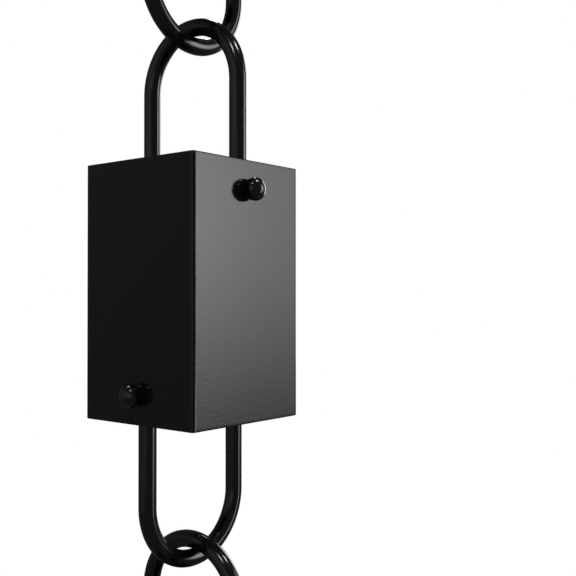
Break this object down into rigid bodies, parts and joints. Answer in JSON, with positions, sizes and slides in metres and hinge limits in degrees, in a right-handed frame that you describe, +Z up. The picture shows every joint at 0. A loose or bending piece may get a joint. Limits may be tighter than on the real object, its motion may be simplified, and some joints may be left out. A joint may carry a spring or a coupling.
{
  "type": "rain chain",
  "caption": "Rain chain of square open-ended cups hung one below another on interlocking U-shaped rod links with ball-headed cross pins, which leads rainwater down from a gutter.",
  "frame": {"origin": "inside of the topmost crown, on the point where a hook carries the chain", "axes": "+Z up along the hanging chain, +X along the upper pins towards their heads, -Y along the lower pins towards their heads"},
  "size_m": [0.074, 0.074, 1.0481],
  "materials": {
    "cup_coat": "satin",
    "link_coat": "gloss",
    "fastener_coat": "gloss"
  },
  "bodies": {
    "upper_link_1": {"upper_link_1": "link_coat"},
    "cup_1": {"cup_1": "cup_coat", "upper_pin_1": "fastener_coat", "upper_cap_1": "fastener_coat", "lower_pin_1": "fastener_coat", "lower_cap_1": "fastener_coat"},
    "lower_link_1": {"lower_link_1": "link_coat"},
    "upper_link_2": {"upper_link_2": "link_coat"},
    "cup_2": {"cup_2": "cup_coat", "upper_pin_2": "fastener_coat", "upper_cap_2": "fastener_coat", "lower_pin_2": "fastener_coat", "lower_cap_2": "fastener_coat"},
    "lower_link_2": {"lower_link_2": "link_coat"},
    "upper_link_3": {"upper_link_3": "link_coat"},
    "cup_3": {"cup_3": "cup_coat", "upper_pin_3": "fastener_coat", "upper_cap_3": "fastener_coat", "lower_pin_3": "fastener_coat", "lower_cap_3": "fastener_coat"},
    "lower_link_3": {"lower_link_3": "link_coat"},
    "upper_link_4": {"upper_link_4": "link_coat"},
    "cup_4": {"cup_4": "cup_coat", "upper_pin_4": "fastener_coat", "upper_cap_4": "fastener_coat", "lower_pin_4": "fastener_coat", "lower_cap_4": "fastener_coat"},
    "lower_link_4": {"lower_link_4": "link_coat"},
    "upper_link_5": {"upper_link_5": "link_coat"},
    "cup_5": {"cup_5": "cup_coat", "upper_pin_5": "fastener_coat", "upper_cap_5": "fastener_coat", "lower_pin_5": "fastener_coat", "lower_cap_5": "fastener_coat"},
    "lower_link_5": {"lower_link_5": "link_coat"}
  },
  "joints": [
    {"name": "cup_1_swing", "type": "hinge", "parent": "upper_link_1", "child": "cup_1", "pos_m": [0, 0, -0.06445], "axis": [1, 0, 0], "range_deg": [-60, 60]},
    {"name": "lower_link_1_swing", "type": "hinge", "parent": "cup_1", "child": "lower_link_1", "pos_m": [0, 0, -0.14265], "axis": [0, 1, 0], "range_deg": [-60, 60]},
    {"name": "upper_link_2_swing", "type": "hinge", "parent": "lower_link_1", "child": "upper_link_2", "pos_m": [0, 0, -0.21055], "axis": [0, -1, 0], "range_deg": [-110, 110]},
    {"name": "cup_2_swing", "type": "hinge", "parent": "upper_link_2", "child": "cup_2", "pos_m": [0, 0, -0.27125], "axis": [-1, 0, 0], "range_deg": [-60, 60]},
    {"name": "lower_link_2_swing", "type": "hinge", "parent": "cup_2", "child": "lower_link_2", "pos_m": [0, 0, -0.34945], "axis": [0, -1, 0], "range_deg": [-60, 60]},
    {"name": "upper_link_3_swing", "type": "hinge", "parent": "lower_link_2", "child": "upper_link_3", "pos_m": [0, 0, -0.41735], "axis": [0, 1, 0], "range_deg": [-110, 110]},
    {"name": "cup_3_swing", "type": "hinge", "parent": "upper_link_3", "child": "cup_3", "pos_m": [0, 0, -0.47805], "axis": [1, 0, 0], "range_deg": [-60, 60]},
    {"name": "lower_link_3_swing", "type": "hinge", "parent": "cup_3", "child": "lower_link_3", "pos_m": [0, 0, -0.55625], "axis": [0, 1, 0], "range_deg": [-60, 60]},
    {"name": "upper_link_4_swing", "type": "hinge", "parent": "lower_link_3", "child": "upper_link_4", "pos_m": [0, 0, -0.62415], "axis": [0, -1, 0], "range_deg": [-110, 110]},
    {"name": "cup_4_swing", "type": "hinge", "parent": "upper_link_4", "child": "cup_4", "pos_m": [0, 0, -0.68485], "axis": [-1, 0, 0], "range_deg": [-60, 60]},
    {"name": "lower_link_4_swing", "type": "hinge", "parent": "cup_4", "child": "lower_link_4", "pos_m": [0, 0, -0.76305], "axis": [0, -1, 0], "range_deg": [-60, 60]},
    {"name": "upper_link_5_swing", "type": "hinge", "parent": "lower_link_4", "child": "upper_link_5", "pos_m": [0, 0, -0.83095], "axis": [0, 1, 0], "range_deg": [-110, 110]},
    {"name": "cup_5_swing", "type": "hinge", "parent": "upper_link_5", "child": "cup_5", "pos_m": [0, 0, -0.89165], "axis": [1, 0, 0], "range_deg": [-60, 60]},
    {"name": "lower_link_5_swing", "type": "hinge", "parent": "cup_5", "child": "lower_link_5", "pos_m": [0, 0, -0.96985], "axis": [0, 1, 0], "range_deg": [-60, 60]}
  ]
}
